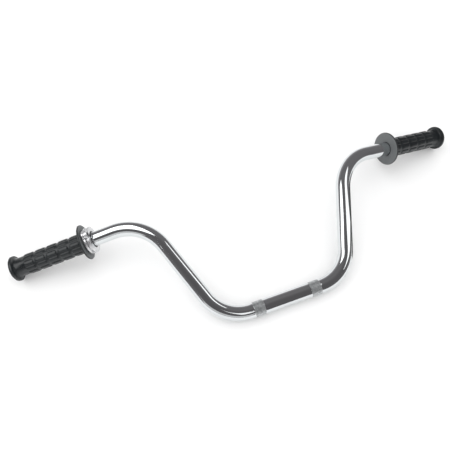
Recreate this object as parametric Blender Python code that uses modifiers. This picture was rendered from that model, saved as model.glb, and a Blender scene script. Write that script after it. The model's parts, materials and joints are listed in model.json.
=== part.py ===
"""Motorcycle handlebar: a bent steel tube with a twist-throttle tube and two rubber grips.

The bar lies on its back as it would on a bench. Its clamp section runs along X through the
origin, the risers lead away along +Y, and the handle ends come back down towards the bench.
The throttle sits on the -X handle, which is the rider's right. Metres, +Z up.
"""

import math

import bmesh
import bpy
from mathutils import Matrix, Vector

# ---------------------------------------------------------------- driving dimensions
TUBE_RADIUS = 0.011            # 22 mm steel tube
TUBE_WALL = 0.002
CLAMP_CORNER = 0.097           # where the clamp section's axis meets the riser's axis, along X
KNEE = (0.161, 0.174, 0.0)     # where the riser's axis meets the handle's axis
TIP = (0.356, 0.171, -0.044)   # centre of the handle's open end
CLAMP_BEND = 0.060             # centreline radius of the lower bend
KNEE_BEND = 0.068              # centreline radius of the upper bend
KNURL_CENTRE = 0.044           # each knurled band's centre, along X
KNURL_WIDTH = 0.0155
KNURL_PROUD = 0.0002           # how far the knurling stands above the tube

SLEEVE_RADIUS = 0.0125         # outside of the throttle sleeve
SLEEVE_BORE = 0.0114           # runs on the 11 mm tube
DRUM_RADIUS = 0.0195           # the cable drum's two discs
DRUM_GROOVE = 0.0160           # bottom of the cable groove
DRUM_COLLAR = 0.0165           # the collar that meets the grip
DRUM_LENGTH = 0.0110
DISC_THICKNESS = 0.0026
GROOVE_WIDTH = 0.0034
EAR_OFFSET = 0.0190            # centre of the nipple ear, from the handle axis
EAR_RADIUS = 0.0065
EAR_WAIST = 0.0052             # the ear's radius between the discs, where the groove goes round it
NIPPLE_RADIUS = 0.0036         # pocket for the cable's barrel nipple, open on the inboard face
POCKET_FLOOR = 0.0020          # metal left at the bottom of the pocket
CABLE_SLOT = 0.0026

GRIP_LENGTH = 0.1145
GRIP_END_WALL = 0.0040
FLANGE_RADIUS = 0.0265         # the broad inboard flange
FLANGE_THICKNESS = 0.0030
FLANGE_LIP = 0.0009
GRIP_RADIUS = 0.0152           # over the pads
PAD_HEIGHT = 0.0013
PAD_ROWS = 5
PADS_ROUND = 10
SEGMENTS_PER_PAD = 4           # three under the pad and one for the groove beside it
ROW_PITCH = 0.0180
RING_GROOVE = 0.0030
FIRST_ROW = 0.0060             # from the flange's face to the first row of pads
END_RADIUS = 0.0190            # the small outboard flange
END_THICKNESS = 0.0070

FIT_GAP = 0.0003               # between pieces that touch
TIP_GAP = 0.0005               # from the bar's end to the grip's end wall
TUBE_SIDES = 8                 # bevel resolution of the tube, 20 sides
ROUND_SIDES = 48
BEND_STEP = math.radians(7.5)

COLOURS = {
    "chrome": ((0.62, 0.64, 0.65), 0.08, 1.0),
    "black_sleeve": ((0.035, 0.038, 0.040), 0.35, 0.0),
    "cast_aluminium": ((0.72, 0.72, 0.73), 0.30, 1.0),
    "black_rubber": ((0.030, 0.034, 0.037), 0.55, 0.0),
}


# ---------------------------------------------------------------- scene and materials
def clear_scene():
    for item in list(bpy.data.objects):
        bpy.data.objects.remove(item, do_unlink=True)


def new_collection(name):
    made = bpy.data.collections.new(name)
    bpy.context.scene.collection.children.link(made)
    return made


def finish_material(name):
    colour, roughness, metallic = COLOURS[name]
    made = bpy.data.materials.get(name) or bpy.data.materials.new(name)
    made.use_nodes = True
    shader = made.node_tree.nodes["Principled BSDF"]
    shader.inputs["Base Color"].default_value = (*colour, 1.0)
    shader.inputs["Roughness"].default_value = roughness
    shader.inputs["Metallic"].default_value = metallic
    return made


def add_object(name, mesh, collection, material=None):
    made = bpy.data.objects.new(name, mesh)
    collection.objects.link(made)
    if material:
        mesh.materials.clear()
        mesh.materials.append(finish_material(material))
    return made


def baked_mesh(source, name):
    """The object's evaluated mesh as a mesh of its own."""
    bpy.context.view_layer.update()
    seen = source.evaluated_get(bpy.context.evaluated_depsgraph_get())
    mesh = bpy.data.meshes.new_from_object(seen)
    mesh.name = name
    return mesh


def shade_round(mesh, angle=35.0):
    mesh.shade_smooth()
    mesh.set_sharp_from_angle(angle=math.radians(angle))


# ---------------------------------------------------------------- the bar's centreline
def fillet(before, corner, after, radius):
    """Points on the arc that rounds a corner, from one tangent point to the other."""
    incoming = (before - corner).normalized()
    outgoing = (after - corner).normalized()
    opening = incoming.angle(outgoing)
    centre = corner + (incoming + outgoing).normalized() * (radius / math.sin(opening / 2))
    tangent = radius / math.tan(opening / 2)
    start = corner + incoming * tangent - centre
    end = corner + outgoing * tangent - centre
    turn = math.pi - opening
    count = max(2, math.ceil(turn / BEND_STEP))
    points = []
    for index in range(count + 1):
        share = index / count
        points.append(centre + (start * math.sin((1 - share) * turn)
                                + end * math.sin(share * turn)) / math.sin(turn))
    return points


def lying_angle():
    """Turn about X that stands the clamp section and both outboard flanges on one level."""
    corner, tip = Vector(KNEE), Vector(TIP)
    outward = (tip - corner).normalized()
    flange = tip + outward * (TIP_GAP + GRIP_END_WALL - END_THICKNESS / 2)
    angle = 0.0
    for _ in range(12):
        slope = outward.y * math.sin(angle) + outward.z * math.cos(angle)
        height = END_RADIUS * math.sqrt(1 - slope ** 2) - TUBE_RADIUS
        reach = math.hypot(flange.y, flange.z)
        angle = math.asin(height / reach) - math.atan2(flange.z, flange.y)
    return angle


LAY = Matrix.Rotation(lying_angle(), 3, "X")
CORNER_POINT = Vector((CLAMP_CORNER, 0, 0))
KNEE_POINT = LAY @ Vector(KNEE)
TIP_POINT = LAY @ Vector(TIP)


def mirrored(point):
    return Vector((-point.x, point.y, point.z))


def handle_frame(side):
    """World matrix at a handle's open end: local +Z points outboard and +X up. Side +1 is +X."""
    tip = TIP_POINT if side > 0 else mirrored(TIP_POINT)
    knee = KNEE_POINT if side > 0 else mirrored(KNEE_POINT)
    return Matrix.Translation(tip) @ (tip - knee).to_track_quat("Z", "X").to_matrix().to_4x4()


def bar_half():
    """Centreline and radius from the middle of the clamp section to the +X tip."""
    band_start = KNURL_CENTRE - KNURL_WIDTH / 2
    band_end = KNURL_CENTRE + KNURL_WIDTH / 2
    knurl = TUBE_RADIUS + KNURL_PROUD
    step = KNURL_PROUD
    points = [
        (Vector((band_start - step, 0, 0)), TUBE_RADIUS),
        (Vector((band_start, 0, 0)), knurl),
        (Vector((band_end - step, 0, 0)), knurl),
        (Vector((band_end - step / 2, 0, 0)), TUBE_RADIUS),
    ]
    lower = fillet(Vector((0, 0, 0)), CORNER_POINT, KNEE_POINT, CLAMP_BEND)
    upper = fillet(CORNER_POINT, KNEE_POINT, TIP_POINT, KNEE_BEND)
    for point in lower + upper:
        points.append((point, TUBE_RADIUS))
    points.append((TIP_POINT, TUBE_RADIUS))
    return points


# ---------------------------------------------------------------- pieces
def make_bar(parts):
    """An open swept skin, thickened inwards, so that both ends of the tube stay open."""
    half = bar_half()
    path = [(mirrored(point), radius) for point, radius in reversed(half)] + half
    curve = bpy.data.curves.new("handlebar_path", "CURVE")
    curve.dimensions = "3D"
    curve.bevel_depth = TUBE_RADIUS
    curve.bevel_resolution = TUBE_SIDES
    curve.twist_mode = "MINIMUM"
    spline = curve.splines.new("POLY")
    spline.points.add(len(path) - 1)
    for target, (point, radius) in zip(spline.points, path):
        target.co = (*point, 1.0)
        target.radius = radius / TUBE_RADIUS
    guide = bpy.data.objects.new("handlebar_path", curve)
    parts.objects.link(guide)
    mesh = baked_mesh(guide, "handlebar_tube")
    bpy.data.objects.remove(guide, do_unlink=True)
    bar = add_object("handlebar_tube", mesh, parts, "chrome")
    shell = bar.modifiers.new("wall", "SOLIDIFY")
    shell.thickness = TUBE_WALL
    shell.offset = -1.0
    shell.use_rim = True
    shade_round(mesh, 50.0)
    return bar


def turned(name, profile, collection, steps=ROUND_SIDES, closed=False):
    """A profile of (radius, height) points swept once round Z."""
    mesh = bpy.data.meshes.new(name)
    edges = [(index, index + 1) for index in range(len(profile) - 1)]
    if closed:
        edges.append((len(profile) - 1, 0))
    mesh.from_pydata([(radius, 0.0, height) for radius, height in profile], edges, [])
    made = add_object(name, mesh, collection)
    screw = made.modifiers.new("turn", "SCREW")
    screw.axis = "Z"
    screw.angle = 2 * math.pi
    screw.steps = steps
    screw.render_steps = steps
    screw.use_merge_vertices = True
    screw.merge_threshold = 0.00001
    return made


def turned_mesh(name, profile, collection, steps=ROUND_SIDES, closed=False):
    blank = turned(name + "_blank", profile, collection, steps, closed)
    mesh = baked_mesh(blank, name)
    bpy.data.objects.remove(blank, do_unlink=True)
    return mesh


def boolean(target, tool, operation):
    cut = target.modifiers.new(tool.name, "BOOLEAN")
    cut.operation = operation
    cut.solver = "EXACT"
    cut.object = tool
    tool.hide_render = True
    tool.display_type = "WIRE"


def make_sleeve(parts, axis):
    """Thin plastic tube from inside the drum to the bar's end."""
    bottom = -(GRIP_LENGTH - GRIP_END_WALL) - DRUM_LENGTH
    rim = 0.0004
    profile = [
        (SLEEVE_RADIUS - rim, 0.0),
        (SLEEVE_RADIUS, -rim),
        (SLEEVE_RADIUS, bottom + rim),
        (SLEEVE_RADIUS - rim, bottom),
        (SLEEVE_BORE, bottom),
        (SLEEVE_BORE, 0.0),
    ]
    mesh = turned_mesh("throttle_sleeve", profile, parts, closed=True)
    sleeve = add_object("throttle_sleeve", mesh, parts, "black_sleeve")
    shade_round(mesh)
    sleeve.parent = axis
    return sleeve


def make_drum(parts, cutters, axis):
    """Cast drum: two discs with the cable groove between them, and an ear for the nipple."""
    top = -(GRIP_LENGTH - GRIP_END_WALL) - FIT_GAP
    bottom = top - DRUM_LENGTH
    front = bottom + DISC_THICKNESS
    rear = front + GROOVE_WIDTH
    collar = rear + DISC_THICKNESS
    bore = SLEEVE_RADIUS + FIT_GAP
    edge = 0.0005
    profile = [
        (DRUM_COLLAR, top),
        (DRUM_COLLAR, collar),
        (DRUM_RADIUS - edge, collar),
        (DRUM_RADIUS, collar - edge),
        (DRUM_RADIUS, rear),
        (DRUM_GROOVE, rear),
        (DRUM_GROOVE, front),
        (DRUM_RADIUS, front),
        (DRUM_RADIUS, bottom + edge),
        (DRUM_RADIUS - edge, bottom),
        (bore, bottom),
        (bore, top),
    ]
    mesh = turned_mesh("throttle_drum", profile, parts, closed=True)
    drum = add_object("throttle_drum", mesh, parts, "cast_aluminium")
    drum.parent = axis

    def rod(name, radius, depth, place, sides=24):
        bpy.ops.mesh.primitive_cylinder_add(vertices=sides, radius=radius, depth=depth)
        made = bpy.context.object
        made.name = name
        move_to(made, cutters)
        made.parent = axis
        made.location = place
        return made

    def block(name, size, place):
        bpy.ops.mesh.primitive_cube_add(size=1.0)
        made = bpy.context.object
        made.name = name
        made.data.transform(Matrix.Diagonal((*size, 1.0)))
        move_to(made, cutters)
        made.parent = axis
        made.location = place
        return made

    root = (bore + DRUM_GROOVE) / 2
    lap = 0.0008
    layers = (
        ("front", bottom + edge / 2, front - edge / 5, EAR_RADIUS),
        ("waist", front - lap, rear + lap, EAR_WAIST),
        ("rear", rear + edge / 5, collar - edge / 2, EAR_RADIUS),
    )
    for label, low, high, radius in layers:
        middle, height = (low + high) / 2, high - low
        end = rod("ear_end_" + label, radius, height, (EAR_OFFSET, 0, middle))
        web_size = (EAR_OFFSET - root, 2 * radius * 0.97, height * 0.97)
        web = block("ear_web_" + label, web_size, ((EAR_OFFSET + root) / 2, 0, middle))
        boolean(drum, end, "UNION")
        boolean(drum, web, "UNION")

    pocket_x = EAR_OFFSET + 0.0008
    floor = collar - POCKET_FLOOR
    depth = 2 * (floor - bottom)
    pocket = rod("nipple_pocket", NIPPLE_RADIUS, depth, (pocket_x, 0, floor - depth / 2), sides=20)
    slot = block("cable_slot", (CABLE_SLOT, 2 * EAR_RADIUS, depth),
                 (pocket_x, EAR_RADIUS, floor - depth / 2))
    boolean(drum, pocket, "DIFFERENCE")
    boolean(drum, slot, "DIFFERENCE")
    shade_round(mesh)
    return drum


def move_to(item, collection):
    for holder in list(item.users_collection):
        holder.objects.unlink(item)
    collection.objects.link(item)


def grip_profile(bore):
    """Half section of a grip, from the middle of its closed end, down the outside, into the bore.

    Heights are measured from the bar's open end.
    """
    top = TIP_GAP + GRIP_END_WALL
    bottom = top - GRIP_LENGTH
    base = GRIP_RADIUS - PAD_HEIGHT
    end_mid = top - END_THICKNESS / 2
    rim = END_THICKNESS / 2
    points = [(0.0, top), (END_RADIUS - rim, top)]
    for turn in (30, 60, 90, 120, 150):
        angle = math.radians(turn)
        points.append((END_RADIUS - rim + rim * math.sin(angle), end_mid + rim * math.cos(angle)))
    points.append((base + 0.0022, top - END_THICKNESS))
    points.append((base, top - END_THICKNESS - 0.0018))
    for row in reversed(range(PAD_ROWS)):
        low = bottom + FIRST_ROW + row * ROW_PITCH
        points.append((base, low + ROW_PITCH - RING_GROOVE))
        points.append((base, low))
    points += [
        (base, bottom + FLANGE_THICKNESS + 0.0010),
        (base + 0.0010, bottom + FLANGE_THICKNESS),
        (FLANGE_RADIUS - FLANGE_LIP, bottom + FLANGE_THICKNESS - 0.0006),
        (FLANGE_RADIUS, bottom + FLANGE_THICKNESS / 2),
        (FLANGE_RADIUS - FLANGE_LIP, bottom),
        (bore, bottom),
        (bore, TIP_GAP),
        (0.0, TIP_GAP),
    ]
    return points


def raise_pads(mesh):
    """Lift the pads above the grip's body: rows along it, and columns round it."""
    base = GRIP_RADIUS - PAD_HEIGHT
    bottom = TIP_GAP + GRIP_END_WALL - GRIP_LENGTH
    segment = 2 * math.pi / (PADS_ROUND * SEGMENTS_PER_PAD)
    work = bmesh.new()
    work.from_mesh(mesh)
    picked = []
    for face in work.faces:
        centre = face.calc_center_median()
        if abs(math.hypot(centre.x, centre.y) - base) > 0.0002:
            continue
        along = centre.z - bottom - FIRST_ROW
        row = math.floor(along / ROW_PITCH)
        if not 0 <= row < PAD_ROWS or along - row * ROW_PITCH > ROW_PITCH - RING_GROOVE:
            continue
        column = math.floor((math.atan2(centre.y, centre.x) % (2 * math.pi)) / segment)
        if column % SEGMENTS_PER_PAD == SEGMENTS_PER_PAD - 1:
            continue
        picked.append(face)
    lifted = bmesh.ops.extrude_face_region(work, geom=picked)
    for vertex in (item for item in lifted["geom"] if isinstance(item, bmesh.types.BMVert)):
        vertex.co.x *= GRIP_RADIUS / base
        vertex.co.y *= GRIP_RADIUS / base
    bmesh.ops.delete(work, geom=picked, context="FACES")
    bmesh.ops.recalc_face_normals(work, faces=work.faces)
    work.to_mesh(mesh)
    work.free()


def make_grip(name, bore, parts, axis):
    steps = PADS_ROUND * SEGMENTS_PER_PAD
    mesh = turned_mesh(name, grip_profile(bore), parts, steps)
    raise_pads(mesh)
    grip = add_object(name, mesh, parts, "black_rubber")
    shade_round(mesh)
    grip.parent = axis
    return grip


def add_axis(name, side, collection):
    """An empty at a handle's open end; its local Z is the handle's axis."""
    empty = bpy.data.objects.new(name, None)
    empty.empty_display_size = 0.03
    empty.matrix_world = handle_frame(side)
    collection.objects.link(empty)
    return empty


def main():
    clear_scene()
    parts = new_collection("handlebar")
    cutters = new_collection("cutters")
    make_bar(parts)
    throttle_axis = add_axis("throttle_axis", -1, parts)
    left_axis = add_axis("left_grip_axis", 1, parts)
    make_sleeve(parts, throttle_axis)
    make_drum(parts, cutters, throttle_axis)
    make_grip("grip_right", SLEEVE_RADIUS + FIT_GAP, parts, throttle_axis)
    make_grip("grip_left", TUBE_RADIUS + FIT_GAP, parts, left_axis)


main()
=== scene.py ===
"""The looks of a motorcycle handlebar: chromed tube, rubber grips, throttle sleeve and cable drum.

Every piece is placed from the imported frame. The handle pieces are modelled along a local +Z that
points outboard from the bar's open end, with local +X up. Metres, +Z up.
"""

import json
import math

import bmesh
import bpy
from mathutils import Matrix, Vector


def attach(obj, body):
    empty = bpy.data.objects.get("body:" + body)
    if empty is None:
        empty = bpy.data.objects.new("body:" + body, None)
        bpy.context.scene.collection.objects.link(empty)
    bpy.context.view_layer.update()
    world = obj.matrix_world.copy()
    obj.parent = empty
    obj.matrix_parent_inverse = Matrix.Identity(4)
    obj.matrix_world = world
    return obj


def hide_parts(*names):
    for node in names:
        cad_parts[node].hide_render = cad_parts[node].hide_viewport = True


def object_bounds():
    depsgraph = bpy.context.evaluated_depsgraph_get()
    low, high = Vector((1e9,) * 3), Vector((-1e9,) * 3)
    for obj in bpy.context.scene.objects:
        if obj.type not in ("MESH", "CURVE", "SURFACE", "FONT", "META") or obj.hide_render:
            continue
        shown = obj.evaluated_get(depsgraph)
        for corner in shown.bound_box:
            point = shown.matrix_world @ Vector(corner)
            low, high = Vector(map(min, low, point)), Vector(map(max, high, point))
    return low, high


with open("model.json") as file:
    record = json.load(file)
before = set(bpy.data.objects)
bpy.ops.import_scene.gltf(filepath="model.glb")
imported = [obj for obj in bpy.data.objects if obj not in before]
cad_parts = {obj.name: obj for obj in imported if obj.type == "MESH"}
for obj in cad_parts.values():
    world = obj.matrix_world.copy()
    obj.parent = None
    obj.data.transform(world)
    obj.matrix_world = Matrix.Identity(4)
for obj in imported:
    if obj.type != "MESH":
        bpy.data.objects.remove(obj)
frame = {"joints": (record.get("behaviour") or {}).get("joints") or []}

CAD_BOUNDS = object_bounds()
MM = 0.001

# ---------------------------------------------------------------- sizes shared with the CAD
TUBE_RADIUS = 0.011
TUBE_BORE = 0.009
CLAMP_CORNER = 0.097           # clamp axis meets riser axis, along X
KNEE_X = 0.161                 # riser axis meets handle axis, along X
CLAMP_BEND = 0.060
KNEE_BEND = 0.068
KNURL_CENTRE = 0.044
KNURL_WIDTH = 0.0155
KNURL_PROUD = 0.0002

SLEEVE_RADIUS = 0.0125
SLEEVE_BORE = 0.0114
DRUM_RADIUS = 0.0195
DRUM_GROOVE = 0.0160
DRUM_COLLAR = 0.0165
DRUM_LENGTH = 0.0110
DISC_THICKNESS = 0.0026
GROOVE_WIDTH = 0.0034
EAR_OFFSET = 0.0190
EAR_RADIUS = 0.0065
EAR_WAIST = 0.0052             # the ear's radius where the groove goes round it
POCKET_FLOOR = 0.0020
NIPPLE_RADIUS = 0.0036
CABLE_SLOT = 0.0026

GRIP_LENGTH = 0.1145
GRIP_END_WALL = 0.0040
FLANGE_RADIUS = 0.0265
FLANGE_THICKNESS = 0.0030
GRIP_RADIUS = 0.0152           # over the crown of the pads
PAD_HEIGHT = 0.0013
PAD_ROWS = 5
PADS_ROUND = 10
ROW_PITCH = 0.0180
RING_GROOVE = 0.0030
FIRST_ROW = 0.0060
END_RADIUS = 0.0190
FIT_GAP = 0.0003
TIP_GAP = 0.0005               # between the bar's end and a grip's closed end
HANDLE_DEPTH = GRIP_LENGTH - GRIP_END_WALL   # how far a grip's bore reaches along the bar
GRIP_BOTTOM = TIP_GAP - HANDLE_DEPTH   # the broad flange's face, along the handle's +Z
PAD_LENGTH = ROW_PITCH - RING_GROOVE
PAD_PERIOD = 2 * math.pi / PADS_ROUND

# ---------------------------------------------------------------- fine detail
TUBE_STEPS = 252               # points round the tube, seven to a knurl
KNURLS_ROUND = 36
KNURL_PITCH = 2 * math.pi * TUBE_RADIUS / KNURLS_ROUND
BEND_STEP = math.radians(2.5)
LONG_STRETCH = 0.0031          # longer than any step in a bend
SUPPORT_GAP = 0.0006
PAD_GROOVE = 0.0020            # groove between two pads in a row
PAD_HALF_WIDTH = (PAD_PERIOD * GRIP_RADIUS - PAD_GROOVE) / 2
PAD_CORNER = 0.0020
PAD_SIDE = 0.0009              # width of a pad's sloping side
PAD_CROWN = 0.0005             # the crown's share of the pad's height
GROOVE_DIP = 0.0001            # how much lower the middle of a ring groove is
DIMPLE_RADIUS = 0.0075         # the dimple in a grip's closed end
DIMPLE_DEPTH = 0.0004
DIMPLE_SLOPE = 0.0008
RIM_ROUND = 0.0022             # on the outboard rim's outer edge
RIM_EDGE = 0.0008              # on its inner edge
RIM_LENGTH = 0.0045            # from the end face to the inner edge's rounding
THROAT = 0.0032                # hollow between the outboard rim and the first row of pads
THROAT_DROP = 0.0011           # how far below RIM_LENGTH it starts
ROOT_ROUND = 0.0014            # where the broad flange meets the pads' ground
FLANGE_LIP = 0.0007            # how far the broad flange's round edge bulges
FLANGE_TAPER = 0.0006          # how much thinner that flange is at its edge
NIB_HEIGHT = 0.0006            # the little moulding nib on each of a grip's rims
NIB_TURN = 20                  # which of the points round the grip it stands on
NIB_FROM = END_RADIUS - 0.0001   # it shows on every ring wider than this
PAD_FIRST_ANGLE = math.radians(13.5)
FACE_BAND = 0.0003             # faces this close to the broad flange's face get the paler rubber: bloom, with a painted sheen for the light that flat face catches
TURN_STEPS = 96                # points round the sleeve and the drum
SLEEVE_ROUND = 0.0004
CHAMFER = 0.00025              # on the drum's edges
POCKET_SHIFT = 0.0008          # the pocket sits this much further out than the ear's middle
LAP = 0.0008                   # how far the drum's joined shapes run into each other
SKIN = 0.0001                  # these two keep faces of joined shapes from lying in one plane
INSET = 0.0004
CUT_PAST = 0.0100              # how far a cutter runs past what it cuts
WELD_GAP = 0.00001


# ---------------------------------------------------------------- places from the frame
def mirrored(point):
    return Vector((-point.x, point.y, point.z))


def joint_named(name):
    return next(item for item in frame["joints"] if item["name"] == name)


RIGHT_TIP = Vector(joint_named("throttle_twist")["pos_m"])
RIGHT_OUT = Vector(joint_named("throttle_twist")["axis"]).normalized()
LEFT_TIP = mirrored(RIGHT_TIP)
LEFT_OUT = mirrored(RIGHT_OUT)
KNEE_POINT = LEFT_TIP - LEFT_OUT * ((LEFT_TIP.x - KNEE_X) / LEFT_OUT.x)


def handle_frame(tip, outward):
    """World matrix at a handle's open end: +Z outboard, +X up."""
    return Matrix.Translation(tip) @ outward.to_track_quat("Z", "X").to_matrix().to_4x4()


RIGHT_FRAME = handle_frame(RIGHT_TIP, RIGHT_OUT)
LEFT_FRAME = handle_frame(LEFT_TIP, LEFT_OUT)


# ---------------------------------------------------------------- node materials
class Nodes:
    """Short calls for a material's node tree. With local, its places are measured in that frame."""

    def __init__(self, name, local=None):
        self.material = bpy.data.materials.new(name)
        self.material.use_nodes = True
        self.tree = self.material.node_tree
        self.shader = self.tree.nodes["Principled BSDF"]
        coordinate = self.add("ShaderNodeTexCoord")
        self.place = coordinate.outputs["Object"]
        if local:
            back = local.inverted()
            mapping = self.add("ShaderNodeMapping")
            mapping.inputs["Rotation"].default_value = back.to_euler()
            mapping.inputs["Location"].default_value = back.translation
            self.link(self.place, mapping.inputs["Vector"])
            self.place = mapping.outputs["Vector"]

    def add(self, kind, **settings):
        node = self.tree.nodes.new(kind)
        for key, value in settings.items():
            setattr(node, key, value)
        return node

    def link(self, source, target):
        self.tree.links.new(source, target)

    def stretched(self, scale):
        node = self.add("ShaderNodeMapping")
        node.inputs["Scale"].default_value = scale
        self.link(self.place, node.inputs["Vector"])
        return node.outputs["Vector"]

    def noise(self, scale, detail=3.0, roughness=0.5, place=None):
        node = self.add("ShaderNodeTexNoise")
        node.inputs["Scale"].default_value = scale
        node.inputs["Detail"].default_value = detail
        node.inputs["Roughness"].default_value = roughness
        self.link(place or self.place, node.inputs["Vector"])
        return node.outputs["Fac"]

    def ramp(self, value, low, high, start=0.0, end=1.0):
        """value's stretch from low to high, spread from start to end."""
        node = self.add("ShaderNodeMapRange")
        node.inputs["From Min"].default_value = low
        node.inputs["From Max"].default_value = high
        node.inputs["To Min"].default_value = start
        node.inputs["To Max"].default_value = end
        self.link(value, node.inputs["Value"])
        return node.outputs["Result"]

    def math(self, operation, first, second):
        node = self.add("ShaderNodeMath", operation=operation)
        for socket, value in zip(node.inputs, (first, second)):
            if isinstance(value, (int, float)):
                socket.default_value = value
            else:
                self.link(value, socket)
        return node.outputs[0]

    def mix(self, share, first, second):
        node = self.add("ShaderNodeMix", data_type="RGBA")
        self.link(share, node.inputs["Factor"])
        for socket, value in ((node.inputs[6], first), (node.inputs[7], second)):
            if isinstance(value, tuple):
                socket.default_value = (*value, 1.0)
            else:
                self.link(value, socket)
        return node.outputs[2]

    def bump(self, height, strength, distance, under=None):
        node = self.add("ShaderNodeBump")
        node.inputs["Strength"].default_value = strength
        node.inputs["Distance"].default_value = distance
        self.link(height, node.inputs["Height"])
        if under:
            self.link(under, node.inputs["Normal"])
        return node.outputs["Normal"]

    def finish(self, colour=None, roughness=None, normal=None, metallic=0.0):
        self.shader.inputs["Metallic"].default_value = metallic
        for name, value in (("Base Color", colour), ("Roughness", roughness), ("Normal", normal)):
            if value is not None:
                self.link(value, self.shader.inputs[name])
        return self.material


def chrome_material():
    """Bright plate: almost a mirror, with faint haze patches and hairline polishing marks."""
    make = Nodes("bright_chrome")
    haze = make.noise(26.0, 4.0)
    hairline = make.noise(900.0, 2.0, place=make.stretched((0.03, 1.0, 1.0)))
    colour = make.mix(make.ramp(haze, 0.35, 0.75), (0.74, 0.765, 0.775), (0.69, 0.715, 0.725))
    patchy = make.ramp(haze, 0.3, 0.8, 0.045, 0.080)
    roughness = make.math("ADD", patchy, make.ramp(hairline, 0.62, 0.80, 0.0, 0.05))
    ripple = make.bump(make.noise(70.0, 1.0), 0.05, 0.0002)
    return make.finish(colour, roughness, ripple, metallic=1.0)


def knurl_material():
    """Matt grey knurling, darker in its grooves."""
    make = Nodes("knurled_steel")
    grain = make.noise(1400.0, 3.0)
    patches = make.noise(420.0, 3.0)
    colour = make.mix(make.ramp(patches, 0.35, 0.65), (0.36, 0.375, 0.38), (0.58, 0.60, 0.605))
    roughness = make.ramp(grain, 0.3, 0.7, 0.36, 0.50)
    return make.finish(colour, roughness, make.bump(grain, 0.35, 0.0002), metallic=0.92)


def bore_material():
    """The bare, lightly oxidised inside of the steel tube."""
    make = Nodes("tube_inside")
    patches = make.noise(120.0, 5.0, 0.6)
    colour = make.mix(make.ramp(patches, 0.4, 0.65), (0.12, 0.115, 0.11), (0.20, 0.17, 0.15))
    roughness = make.ramp(patches, 0.3, 0.7, 0.5, 0.8)
    return make.finish(colour, roughness, metallic=0.8)


def rubber_material(name, dark, pale, low, high):
    """Moulded rubber: soft sheen, fine grain and pale bloom in patches."""
    make = Nodes(name)
    bloom = make.noise(38.0, 5.0, 0.62)
    grain = make.noise(2600.0, 2.0)
    colour = make.mix(make.ramp(bloom, 0.38, 0.78), dark, pale)
    roughness = make.ramp(bloom, 0.3, 0.75, low, high)
    waves = make.bump(make.noise(220.0, 2.0), 0.12, 0.0002)
    normal = make.bump(grain, 0.10, 0.0001, waves)
    make.shader.inputs["Specular IOR Level"].default_value = 0.55
    return make.finish(colour, roughness, normal)


def sleeve_material():
    """Black satin plastic with long grey scuffs, where grips have been pulled on and off."""
    make = Nodes("sleeve_plastic", RIGHT_FRAME)
    streak = make.noise(240.0, 4.0, 0.6, place=make.stretched((1.0, 1.0, 0.10)))
    patch = make.noise(22.0, 3.0)
    scuff = make.math("MULTIPLY", make.ramp(streak, 0.52, 0.72), make.ramp(patch, 0.45, 0.65))
    colour = make.mix(scuff, (0.013, 0.016, 0.017), (0.16, 0.16, 0.15))
    roughness = make.ramp(scuff, 0.0, 1.0, 0.25, 0.50)
    normal = make.bump(make.noise(700.0, 2.0), 0.08, 0.0001)
    return make.finish(colour, roughness, normal)


def aluminium_material():
    """Bright machined casting: fine turning marks round the axis, slight grey variation."""
    make = Nodes("machined_aluminium", RIGHT_FRAME)
    split = make.add("ShaderNodeSeparateXYZ")
    make.link(make.place, split.inputs["Vector"])
    square = make.math("ADD", make.math("POWER", split.outputs["X"], 2.0),
                       make.math("POWER", split.outputs["Y"], 2.0))
    radius = make.math("SQRT", square, 0.0)
    rings = make.add("ShaderNodeCombineXYZ")
    make.link(radius, rings.inputs["X"])
    make.link(split.outputs["Z"], rings.inputs["Y"])
    turning = make.noise(3200.0, 2.0, place=rings.outputs["Vector"])
    patches = make.noise(110.0, 4.0)
    colour = make.mix(make.ramp(patches, 0.3, 0.7), (0.78, 0.78, 0.79), (0.58, 0.59, 0.60))
    roughness = make.ramp(patches, 0.3, 0.7, 0.26, 0.40)
    return make.finish(colour, roughness, make.bump(turning, 0.25, 0.0001), metallic=1.0)


# ---------------------------------------------------------------- mesh building
def lofted(name, rings, loop=False, poles=()):
    """A skin through rings of points. loop joins the last ring to the first, poles close the ends."""
    count = len(rings[0])
    points = [tuple(point) for ring in rings for point in ring]
    pairs = list(zip(range(len(rings)), range(1, len(rings))))
    if loop:
        pairs.append((len(rings) - 1, 0))
    faces = []
    for lower, upper in pairs:
        for index in range(count):
            after = (index + 1) % count
            faces.append((lower * count + index, lower * count + after,
                          upper * count + after, upper * count + index))
    for pole, ring in zip(poles, (0, len(rings) - 1)):
        points.append(tuple(pole))
        for index in range(count):
            after = (index + 1) % count
            faces.append((ring * count + index, ring * count + after, len(points) - 1))
    mesh = bpy.data.meshes.new(name)
    mesh.from_pydata(points, [], faces)
    work = bmesh.new()
    work.from_mesh(mesh)
    bmesh.ops.recalc_face_normals(work, faces=work.faces)
    work.to_mesh(mesh)
    work.free()
    made = bpy.data.objects.new(name, mesh)
    bpy.context.scene.collection.objects.link(made)
    return made


def shade_round(piece, degrees):
    piece.data.shade_smooth()
    piece.data.set_sharp_from_angle(angle=math.radians(degrees))


def turned_rings(profile, steps):
    """Rings of points round Z for a profile of (radius, height) points."""
    rings = []
    for radius, height in profile:
        rings.append([(radius * math.cos(turn), radius * math.sin(turn), height)
                      for turn in (2 * math.pi * index / steps for index in range(steps))])
    return rings


def rounded(corners, size, points=3):
    """A closed profile with each corner cut to a small arc."""
    out = []
    for index, corner in enumerate(corners):
        here = Vector(corner)
        before = Vector(corners[index - 1]) - here
        after = Vector(corners[(index + 1) % len(corners)]) - here
        reach = min(size, before.length * 0.4, after.length * 0.4)
        start = here + before.normalized() * reach
        end = here + after.normalized() * reach
        for step in range(points + 1):
            share = step / points
            out.append(start * (1 - share) ** 2 + here * 2 * share * (1 - share) + end * share ** 2)
    return out


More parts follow.
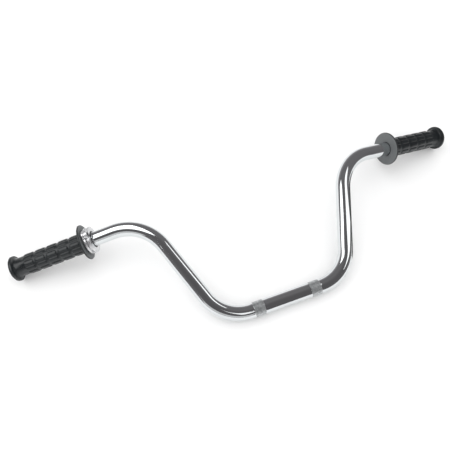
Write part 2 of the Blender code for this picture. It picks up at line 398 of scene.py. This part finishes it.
# ---------------------------------------------------------------- bar
def fillet(before, corner, after, radius):
    """Points on the arc that rounds a corner, from one tangent point to the other."""
    incoming = (before - corner).normalized()
    outgoing = (after - corner).normalized()
    opening = incoming.angle(outgoing)
    centre = corner + (incoming + outgoing).normalized() * (radius / math.sin(opening / 2))
    tangent = radius / math.tan(opening / 2)
    start = corner + incoming * tangent - centre
    end = corner + outgoing * tangent - centre
    turn = math.pi - opening
    count = math.ceil(turn / BEND_STEP)
    points = []
    for index in range(count + 1):
        share = index / count
        points.append(centre + (start * math.sin((1 - share) * turn)
                                + end * math.sin(share * turn)) / math.sin(turn))
    return points


def bend_points():
    """The centreline from the first bend to the +X tip's rim."""
    centre = Vector((0, 0, 0))
    corner = Vector((CLAMP_CORNER, 0, 0))
    points = fillet(centre, corner, KNEE_POINT, CLAMP_BEND)
    points += fillet(corner, KNEE_POINT, LEFT_TIP, KNEE_BEND)
    return points


def knurl_height(along, share):
    """0 in a groove to 1 on a diamond's flat; share is the way round, from 0 to 1."""
    def ridge(value):
        return abs(2 * (value % 1.0) - 1)

    crossing = min(ridge(share * KNURLS_ROUND + along / KNURL_PITCH),
                   ridge(share * KNURLS_ROUND - along / KNURL_PITCH))
    return min(1.0, 1.8 * crossing)


def with_supports(stations):
    """A ring close to each end of a long straight stretch keeps the shading along it even."""
    filled = [stations[0]]
    for before, after in zip(stations, stations[1:]):
        gap = after[0] - before[0]
        if gap.length > LONG_STRETCH:
            nudge = gap.normalized() * SUPPORT_GAP
            filled.append((before[0] + nudge, TUBE_RADIUS, False))
            filled.append((after[0] - nudge, TUBE_RADIUS, False))
        filled.append(after)
    return filled


def bar_stations():
    """(centre, radius, knurled) along the outside of the bar from the -X rim to the +X rim."""
    fine = KNURL_PITCH * KNURLS_ROUND / TUBE_STEPS
    count = round(KNURL_WIDTH / fine)
    start = KNURL_CENTRE - count * fine / 2
    half = [(Vector((start - fine, 0, 0)), TUBE_RADIUS, False)]
    for index in range(count + 1):
        half.append((Vector((start + index * fine, 0, 0)), TUBE_RADIUS, True))
    half.append((Vector((start + (count + 1) * fine, 0, 0)), TUBE_RADIUS, False))
    half += [(point, TUBE_RADIUS, False) for point in bend_points()]
    for back, inset in ((2.0, 0.0), (0.5, 0.0), (0.22, 0.06), (0.06, 0.20), (0.0, 0.45)):
        half.append((LEFT_TIP - LEFT_OUT * back * MM, TUBE_RADIUS - inset * MM, False))
    whole = [(mirrored(point), radius, flag) for point, radius, flag in reversed(half)] + half
    return with_supports(whole)


def inside_stations():
    """(centre, radius) along the bore from the -X rim to the +X rim."""
    half = [(Vector((KNURL_CENTRE, 0, 0)), TUBE_BORE)]
    half += [(point, TUBE_BORE) for point in bend_points()]
    half += [(LEFT_TIP - LEFT_OUT * 0.4 * MM, TUBE_BORE), (LEFT_TIP, TUBE_BORE + 0.3 * MM)]
    return [(mirrored(point), radius) for point, radius in reversed(half)] + half


def tube_rings(stations, outside):
    """Rings square to the centreline, carried along it without twist."""
    centres = [station[0] for station in stations]
    across = Vector((0, 1, 0))
    rings = []
    for index, (centre, radius, *flag) in enumerate(stations):
        before = centres[max(index - 1, 0)]
        after = centres[min(index + 1, len(centres) - 1)]
        tangent = (centre - before).normalized() + (after - centre).normalized()
        tangent.normalize()
        across = (across - tangent * across.dot(tangent)).normalized()
        side = tangent.cross(across)
        ring = []
        for step in range(TUBE_STEPS):
            share = step / TUBE_STEPS
            reach = radius
            if outside and flag[0]:
                reach += KNURL_PROUD * (0.15 + 0.85 * knurl_height(centre.x, share))
            turn = 2 * math.pi * share
            ring.append(centre + across * (reach * math.cos(turn)) + side * (reach * math.sin(turn)))
        rings.append(ring)
    return rings


def make_bar():
    outer = bar_stations()
    rings = tube_rings(outer, True)
    rings += reversed(tube_rings(inside_stations(), False))
    bar = lofted("bar_tube", rings, loop=True)
    for material in (chrome_material(), knurl_material(), bore_material()):
        bar.data.materials.append(material)
    knurled = [index for index, station in enumerate(outer) if station[2]]
    for face in bar.data.polygons:
        low = min(face.vertices) // TUBE_STEPS
        high = max(face.vertices) // TUBE_STEPS
        if low in knurled and high in knurled:
            face.material_index = 1
        elif low >= len(outer):
            face.material_index = 2
    shade_round(bar, 32)
    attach(bar, "bar")
    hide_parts("handlebar_tube")


# ---------------------------------------------------------------- grips
def smooth_step(value):
    value = min(1.0, max(0.0, value))
    return value * value * (3 - 2 * value)


def pad_height(turn, along):
    """How far a pad stands out at an angle round the grip and a distance from the flange's face."""
    row = math.floor((along - FIRST_ROW) / ROW_PITCH)
    if not 0 <= row < PAD_ROWS:
        return 0.0
    offset = (turn - PAD_FIRST_ANGLE + PAD_PERIOD / 2) % PAD_PERIOD - PAD_PERIOD / 2
    across = abs(offset * GRIP_RADIUS)
    lengthwise = abs(along - FIRST_ROW - row * ROW_PITCH - PAD_LENGTH / 2)
    over_x = across - (PAD_HALF_WIDTH - PAD_CORNER)
    over_y = lengthwise - (PAD_LENGTH / 2 - PAD_CORNER)
    outside = math.hypot(max(over_x, 0), max(over_y, 0)) + min(max(over_x, over_y), 0)
    depth = PAD_CORNER - outside
    crown = (1 - (across / PAD_HALF_WIDTH) ** 2) * (1 - (2 * lengthwise / PAD_LENGTH) ** 4)
    side = smooth_step(depth / PAD_SIDE)
    return side * (PAD_HEIGHT - PAD_CROWN + PAD_CROWN * max(crown, 0.0))


def spread(half, edge_steps):
    """Offsets across a pad, from one edge to the other, closer together near the edges."""
    inner = half - sum(edge_steps)
    values = [0.0, inner * 0.5, inner]
    for step in edge_steps:
        values.append(values[-1] + step)
    return [-value for value in reversed(values[1:])] + values


def grip_angles():
    """Angles round the grip, crowded at the pads' sides."""
    offsets = spread(PAD_HALF_WIDTH, (0.0007, 0.0005, 0.0004, 0.0004, 0.0003))
    offsets.append(PAD_HALF_WIDTH + PAD_GROOVE / 2)
    angles = []
    for pad in range(PADS_ROUND):
        middle = PAD_FIRST_ANGLE + pad * PAD_PERIOD
        angles += [middle + offset / GRIP_RADIUS for offset in offsets]
    return angles


def arc(centre, reach, start, end, steps):
    """Outline points on an arc, in degrees: 0 is outboard of its centre and 90 away from the axis."""
    points = []
    for index in range(steps + 1):
        turn = math.radians(start + (end - start) * index / steps)
        points.append((centre[0] + reach[0] * math.sin(turn),
                       centre[1] + reach[1] * math.cos(turn), False))
    return points


def grip_outline(bore):
    """(radius, height from the bar's end, padded) from the closed end, down the outside, to the bore."""
    top = TIP_GAP + GRIP_END_WALL
    ground = GRIP_RADIUS - PAD_HEIGHT
    points = [
        (DIMPLE_RADIUS / 2, top - DIMPLE_DEPTH, False),
        (DIMPLE_RADIUS, top - DIMPLE_DEPTH, False),
        (DIMPLE_RADIUS + DIMPLE_SLOPE, top, False),
        (END_RADIUS - RIM_ROUND - 0.001, top, False),
    ]
    points += arc((END_RADIUS - RIM_ROUND, top - RIM_ROUND), (RIM_ROUND, RIM_ROUND), 0, 90, 6)
    points += arc((END_RADIUS - RIM_EDGE, top - RIM_LENGTH), (RIM_EDGE, RIM_EDGE), 90, 190, 4)
    throat_top = top - RIM_LENGTH - THROAT_DROP
    points += arc((ground + THROAT, throat_top - THROAT), (THROAT, THROAT), 0, -90, 7)[1:]
    offsets = spread(PAD_LENGTH / 2, (0.0009, 0.0006, 0.0005, 0.0004, 0.0004, 0.0003))
    for row in reversed(range(PAD_ROWS)):
        middle = GRIP_BOTTOM + FIRST_ROW + row * ROW_PITCH + PAD_LENGTH / 2
        points += [(ground, middle + offset, True) for offset in reversed(offsets)]
        points.append((ground - GROOVE_DIP, middle - PAD_LENGTH / 2 - RING_GROOVE / 2, False))
    root = GRIP_BOTTOM + FLANGE_THICKNESS
    points += arc((ground + ROOT_ROUND, root + ROOT_ROUND), (ROOT_ROUND, ROOT_ROUND), -90, -180, 5)
    points.append((FLANGE_RADIUS - FLANGE_LIP - 0.0015, root - 0.0005, False))
    half_edge = (FLANGE_THICKNESS - FLANGE_TAPER) / 2
    points += arc((FLANGE_RADIUS - FLANGE_LIP, GRIP_BOTTOM + half_edge), (FLANGE_LIP, half_edge), 0, 180, 8)
    points += [
        (FLANGE_RADIUS - 0.0030, GRIP_BOTTOM, False),
        (bore + 0.0010, GRIP_BOTTOM, False),
        (bore + 0.0004, GRIP_BOTTOM, False),
        (bore + 0.0001, GRIP_BOTTOM + 0.0001, False),
        (bore, GRIP_BOTTOM + 0.0004, False),
        (bore, GRIP_BOTTOM + GRIP_LENGTH / 2, False),
        (bore, TIP_GAP - 0.0004, False),
        (bore - 0.0004, TIP_GAP, False),
    ]
    return points


def make_grip(name, bore, place, body, node):
    outline = grip_outline(bore)
    angles = grip_angles()
    rings = []
    for radius, height, padded in outline:
        ring = []
        for index, turn in enumerate(angles):
            reach = radius
            if padded:
                reach += pad_height(turn, height - GRIP_BOTTOM)
            if index == NIB_TURN and radius > NIB_FROM:
                reach += NIB_HEIGHT
            ring.append((reach * math.cos(turn), reach * math.sin(turn), height))
        rings.append(ring)
    poles = ((0, 0, outline[0][1]), (0, 0, TIP_GAP))
    grip = lofted(name, rings, poles=poles)
    rubber = bpy.data.materials.get("grip_rubber") or rubber_material(
        "grip_rubber", (0.0065, 0.0090, 0.0105), (0.013, 0.017, 0.019), 0.27, 0.40)
    # The broad flange's flat face gets a much paler rubber: bloom, with a painted sheen standing in for the
    # light that face catches.
    face = bpy.data.materials.get("flange_bloom_and_painted_sheen") or rubber_material(
        "flange_bloom_and_painted_sheen", (0.105, 0.113, 0.117), (0.150, 0.158, 0.160), 0.46, 0.62)
    grip.data.materials.append(rubber)
    grip.data.materials.append(face)
    # The flange's flat face takes the paler rubber with its painted sheen.
    for polygon in grip.data.polygons:
        if polygon.normal.z < -0.95 and abs(polygon.center.z - GRIP_BOTTOM) < FACE_BAND:
            polygon.material_index = 1
    shade_round(grip, 50)
    grip.data.transform(place)
    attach(grip, body)
    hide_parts(node)


# ---------------------------------------------------------------- throttle sleeve and drum
def make_sleeve():
    bottom = -HANDLE_DEPTH - DRUM_LENGTH
    corners = [(SLEEVE_RADIUS, 0.0), (SLEEVE_RADIUS, bottom), (SLEEVE_BORE, bottom), (SLEEVE_BORE, 0.0)]
    profile = rounded(corners, SLEEVE_ROUND)
    sleeve = lofted("throttle_tube", turned_rings(profile, TURN_STEPS), loop=True)
    sleeve.data.transform(RIGHT_FRAME)
    sleeve.data.materials.append(sleeve_material())
    shade_round(sleeve, 40)
    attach(sleeve, "throttle")
    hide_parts("throttle_sleeve")


def rod(name, radius, low, high, x, steps, chamfer=0.0):
    """A cylinder along Z from low to high, standing at x."""
    corners = [(radius, high - chamfer), (radius, low + chamfer)]
    if chamfer:
        corners = [(radius - chamfer, high), *corners, (radius - chamfer, low)]
    tool = lofted(name, turned_rings(corners, steps), poles=((0, 0, high), (0, 0, low)))
    tool.location.x = x
    return tool


def block(name, low, high):
    """A box between two opposite corners."""
    bpy.ops.mesh.primitive_cube_add(size=1.0)
    tool = bpy.context.object
    tool.name = name
    size = [high[axis] - low[axis] for axis in range(3)]
    tool.data.transform(Matrix.Diagonal((*size, 1.0)))
    tool.location = [(high[axis] + low[axis]) / 2 for axis in range(3)]
    return tool


def drum_tools(top, bottom, front, rear, collar, bore):
    """What the turned drum is joined with and cut by, in order.

    Lobes, waist and pocket differ in step count, and no joined shape ends in the plane of its
    neighbour's face, so that no corners or faces coincide and the boolean result stays closed. The
    bore is cut after the ear is joined, because the ear reaches into it.
    """
    pocket_x = EAR_OFFSET + POCKET_SHIFT
    floor = collar - POCKET_FLOOR
    outside = bottom - CUT_PAST
    root = (bore + DRUM_GROOVE) / 2
    half = EAR_WAIST * 0.97    # the web just misses the waist's widest line
    return [
        (rod("front_lobe", EAR_RADIUS, bottom + INSET, front - SKIN, EAR_OFFSET, 64, CHAMFER), "UNION"),
        (rod("rear_lobe", EAR_RADIUS, rear + SKIN, collar - INSET, EAR_OFFSET, 64, CHAMFER), "UNION"),
        (rod("waist", EAR_WAIST, front - LAP, rear + LAP, EAR_OFFSET, 51), "UNION"),
        (block("web", (root, -half, front - INSET), (EAR_OFFSET + INSET, half, rear + INSET)), "UNION"),
        (rod("bore", bore, outside, top + CUT_PAST, 0, TURN_STEPS), "DIFFERENCE"),
        (rod("pocket", NIPPLE_RADIUS, outside, floor, pocket_x, 47), "DIFFERENCE"),
        (block("slot", (pocket_x - CABLE_SLOT / 2, 0, outside),
               (pocket_x + CABLE_SLOT / 2, 2 * EAR_RADIUS, floor - SKIN)), "DIFFERENCE"),
    ]


def make_drum():
    """Two discs with the cable groove between them, and the ear that holds the cable's nipple."""
    top = -HANDLE_DEPTH - FIT_GAP
    bottom = top - DRUM_LENGTH
    front = bottom + DISC_THICKNESS
    rear = front + GROOVE_WIDTH
    collar = rear + DISC_THICKNESS
    bore = SLEEVE_RADIUS + FIT_GAP
    corners = [
        (DRUM_COLLAR, top),
        (DRUM_COLLAR, collar),
        (DRUM_RADIUS, collar),
        (DRUM_RADIUS, rear),
        (DRUM_GROOVE, rear),
        (DRUM_GROOVE, front),
        (DRUM_RADIUS, front),
        (DRUM_RADIUS, bottom),
        (bore - LAP, bottom),
        (bore - LAP, top),
    ]
    profile = rounded(corners, CHAMFER, points=1)
    drum = lofted("cable_drum", turned_rings(profile, TURN_STEPS), loop=True)
    tools = drum_tools(top, bottom, front, rear, collar, bore)
    for tool, operation in tools:
        cut = drum.modifiers.new(tool.name, "BOOLEAN")
        cut.operation = operation
        cut.solver = "EXACT"
        cut.object = tool
    weld = drum.modifiers.new("weld", "WELD")
    weld.merge_threshold = WELD_GAP
    bpy.context.view_layer.update()
    seen = drum.evaluated_get(bpy.context.evaluated_depsgraph_get())
    mesh = bpy.data.meshes.new_from_object(seen)
    drum.modifiers.clear()
    drum.data = mesh
    for tool, _ in tools:
        bpy.data.objects.remove(tool, do_unlink=True)
    drum.data.transform(RIGHT_FRAME)
    drum.data.materials.clear()
    drum.data.materials.append(aluminium_material())
    shade_round(drum, 30)
    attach(drum, "throttle")
    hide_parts("throttle_drum")


# ---------------------------------------------------------------- floor, light and camera
AIM = Vector((-0.0426, 0.1436, 0.0))   # what the camera looks at, on the clamp section's level
FLOOR_GAP = 0.0003
FLOOR_REACH = 6.0


def direction(azimuth, elevation):
    """Unit vector; azimuth 0 is +Y and 90 is +X."""
    flat = math.cos(math.radians(elevation))
    return Vector((math.sin(math.radians(azimuth)) * flat,
                   math.cos(math.radians(azimuth)) * flat,
                   math.sin(math.radians(elevation))))


def aimed(back, roll):
    """Rotation of a lamp or camera whose back looks along a direction, rolled by degrees."""
    facing = back.to_track_quat("Z", "Y").to_matrix()
    return (facing @ Matrix.Rotation(math.radians(roll), 3, "Z")).to_euler()


def make_floor():
    mesh = bpy.data.meshes.new("floor")
    corners = [(x * FLOOR_REACH, y * FLOOR_REACH, 0) for x, y in ((-1, -1), (1, -1), (1, 1), (-1, 1))]
    mesh.from_pydata(corners, [], [(0, 1, 2, 3)])
    floor = bpy.data.objects.new("floor", mesh)
    bpy.context.scene.collection.objects.link(floor)
    floor.location.z = CAD_BOUNDS[0][2] - FLOOR_GAP
    make = Nodes("floor_paper")
    paper = make.noise(3.0, 2.0)
    colour = make.mix(make.ramp(paper, 0.3, 0.7), (0.92, 0.92, 0.92), (0.94, 0.94, 0.94))
    make.shader.inputs["Roughness"].default_value = 0.8
    make.shader.inputs["Specular IOR Level"].default_value = 0.1
    mesh.materials.append(make.finish(colour))


def make_flag():
    """A dark card on edge beside the +X riser, seen only mirrored in the riser's outer side."""
    foot = Vector((0.1305, 0.018, CAD_BOUNDS[0][2]))
    head = Vector((0.179, 0.140, CAD_BOUNDS[0][2]))
    points = [foot, head]
    for share, height in ((1.0, 0.055), (0.67, 0.057), (0.0, 0.023)):
        points.append(foot.lerp(head, share) + Vector((0, 0, height)))
    mesh = bpy.data.meshes.new("flag")
    mesh.from_pydata(points, [], [tuple(range(len(points)))])
    flag = bpy.data.objects.new("flag", mesh)
    bpy.context.scene.collection.objects.link(flag)
    make = Nodes("flag_cloth")
    cloth = make.noise(300.0, 2.0)
    mesh.materials.append(make.finish(make.mix(cloth, (0.09, 0.09, 0.09), (0.11, 0.11, 0.11))))
    flag.visible_camera = False
    flag.visible_diffuse = False
    flag.visible_shadow = False


def softbox(name, place, size, roll, power, lights="gloss", back=None):
    """A rectangle at (azimuth, elevation, distance) from AIM, in degrees and metres.

    size is (width, height), and roll turns it about its own middle. It faces AIM, unless back says
    which way its back looks. It lights only gloss, where it is seen mirrored, or only matt surfaces.
    """
    lamp = bpy.data.lights.new(name, "AREA")
    lamp.shape = "RECTANGLE"
    lamp.size, lamp.size_y = size
    lamp.energy = power
    light = bpy.data.objects.new(name, lamp)
    bpy.context.scene.collection.objects.link(light)
    azimuth, elevation, distance = place
    toward = direction(azimuth, elevation)
    light.location = AIM + toward * distance
    light.rotation_euler = aimed(back or toward, roll)
    light.visible_camera = False
    light.visible_glossy = lights == "gloss"
    light.visible_diffuse = lights == "matt"


def make_world():
    """Matt surfaces get even light from all round. Gloss mirrors a dim studio: a paler far wall,
    a darker near side. The eye sees a pale wall where the floor ends."""
    world = bpy.data.worlds.new("studio")
    world.use_nodes = True
    bpy.context.scene.world = world
    tree = world.node_tree
    tree.nodes.clear()

    def add(kind, **settings):
        node = tree.nodes.new(kind)
        for key, value in settings.items():
            setattr(node, key, value)
        return node

    def fade(value, low, high, start, end):
        node = add("ShaderNodeMapRange", interpolation_type="SMOOTHSTEP")
        for name, number in (("From Min", low), ("From Max", high), ("To Min", start), ("To Max", end)):
            node.inputs[name].default_value = number
        tree.links.new(value, node.inputs["Value"])
        return node.outputs["Result"]

    def combine(operation, first, second):
        node = add("ShaderNodeMath", operation=operation)
        tree.links.new(first, node.inputs[0])
        tree.links.new(second, node.inputs[1])
        return node.outputs[0]

    def glow(colour, strength):
        node = add("ShaderNodeBackground")
        node.inputs["Color"].default_value = (*colour, 1.0)
        if isinstance(strength, float):
            node.inputs["Strength"].default_value = strength
        else:
            tree.links.new(strength, node.inputs["Strength"])
        return node.outputs["Background"]

    def choose(fac, first, second):
        node = add("ShaderNodeMixShader")
        for socket, source in zip(node.inputs, (fac, first, second)):
            tree.links.new(source, socket)
        return node.outputs["Shader"]

    place = add("ShaderNodeTexCoord")
    split = add("ShaderNodeSeparateXYZ")
    tree.links.new(place.outputs["Generated"], split.inputs["Vector"])
    along, height = split.outputs["Y"], split.outputs["Z"]   # of a ray's direction, from -1 to 1
    far = combine("MULTIPLY", fade(along, 0.2, 0.95, 0.0, 0.20), fade(height, 0.05, 0.55, 1.0, 0.0))
    near = fade(combine("SUBTRACT", along, height), -1.35, -0.55, 0.11, 0.17)
    walls = glow((1.0, 0.955, 0.985), combine("ADD", far, near))
    sight = add("ShaderNodeLightPath")
    lit = choose(sight.outputs["Is Glossy Ray"], glow((1.0, 1.0, 1.0), 1.14), walls)
    seen = choose(sight.outputs["Is Camera Ray"], lit, glow((1.0, 1.0, 1.0), 1.0))
    out = add("ShaderNodeOutputWorld")
    tree.links.new(seen, out.inputs["Surface"])


def make_camera():
    azimuth, elevation, roll = 21.34, 61.91, 1.20
    distance = 0.7285
    lens = bpy.data.cameras.new("camera")
    lens.sensor_width = 36.0
    lens.lens = 37.07
    lens.clip_end = 30.0
    camera = bpy.data.objects.new("camera", lens)
    bpy.context.scene.collection.objects.link(camera)
    away = direction(azimuth + 180, elevation)
    camera.location = AIM + away * distance
    camera.rotation_euler = aimed(away, roll)
    bpy.context.scene.camera = camera


def make_lights():
    softbox("left_softbox", (-76.8, 49.9, 0.57), (0.38, 0.62), 32, 1.5)
    softbox("right_strip", (89.6, 50.4, 0.516), (0.14, 0.74), -27.9, 0.45, back=direction(124.7, 0))
    softbox("low_card", (-154, 13.9, 1.01), (1.3, 0.40), 0, 0.887)
    softbox("front_softbox", (174.5, 51.0, 1.08), (0.175, 0.39), 0, 0.24)
    softbox("key", (-60, 58, 1.6), (1.4, 1.4), 0, 4.0, lights="matt")


make_bar()
make_sleeve()
make_drum()
make_grip("right_rubber_grip", SLEEVE_RADIUS + FIT_GAP, RIGHT_FRAME, "right_grip", "grip_right")
make_grip("left_rubber_grip", TUBE_RADIUS + FIT_GAP, LEFT_FRAME, "left_grip", "grip_left")
make_floor()
make_flag()
make_lights()
make_world()
make_camera()
bpy.context.scene.view_settings.view_transform = "Standard"
